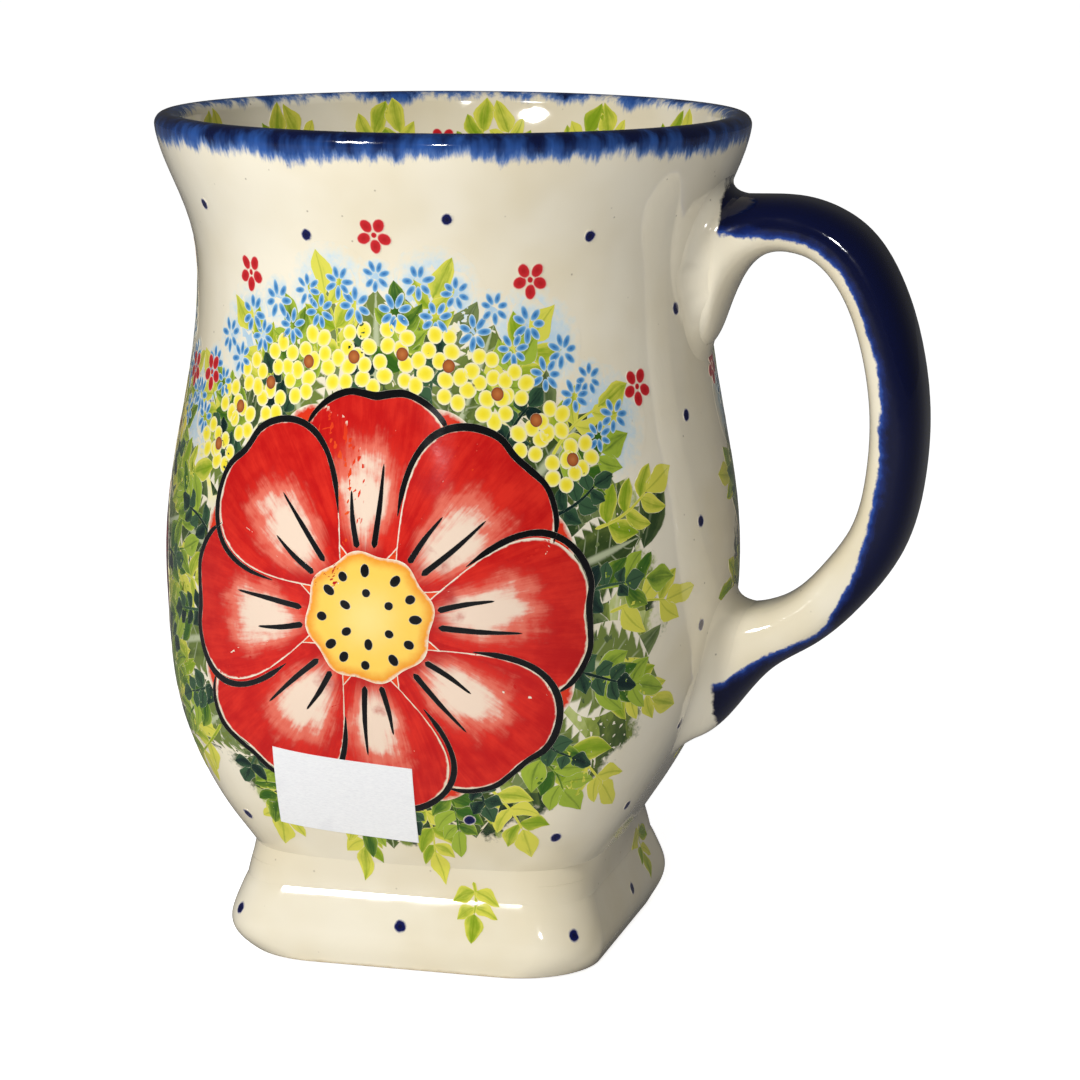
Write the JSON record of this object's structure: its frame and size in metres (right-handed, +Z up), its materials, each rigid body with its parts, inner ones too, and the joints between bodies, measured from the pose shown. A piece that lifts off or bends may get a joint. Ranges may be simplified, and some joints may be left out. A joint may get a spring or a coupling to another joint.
{
  "type": "footed stoneware mug",
  "caption": "Glazed stoneware mug with a round belly, flared lip, square hollow foot and strap handle, painted with a folk flower garden.",
  "frame": {"origin": "on the cup's own axis, in the plane of the resting ring under the square foot", "axes": "+Z up along the cup's axis, +X from the cup's axis towards the handle, with the flats of the square foot facing X and Y; the front, with the label, faces -Y"},
  "size_m": [0.1211, 0.0922, 0.13],
  "materials": {
    "painted_cream_glaze": "clear gloss glaze over cream stoneware, painted under the glaze with red flowers, leaves, small blossoms and cobalt dots",
    "cream_glaze": "clear gloss glaze over cream stoneware, with a bare fired ring underneath",
    "slip_under_glaze": "fired clay slip under clear gloss glaze",
    "cobalt_glaze": "deep cobalt underglaze on the outer face, cream on the sides and the inner face, clear gloss glaze over all",
    "label_paper": "matt white self-adhesive paper, blank"
  },
  "bodies": {
    "root": {"cup_body": "painted_cream_glaze", "square_foot": "cream_glaze", "foot_slip": "slip_under_glaze", "handle": "cobalt_glaze", "upper_handle_slip": "slip_under_glaze", "lower_handle_slip": "slip_under_glaze", "price_label": "label_paper"}
  },
  "joints": []
}
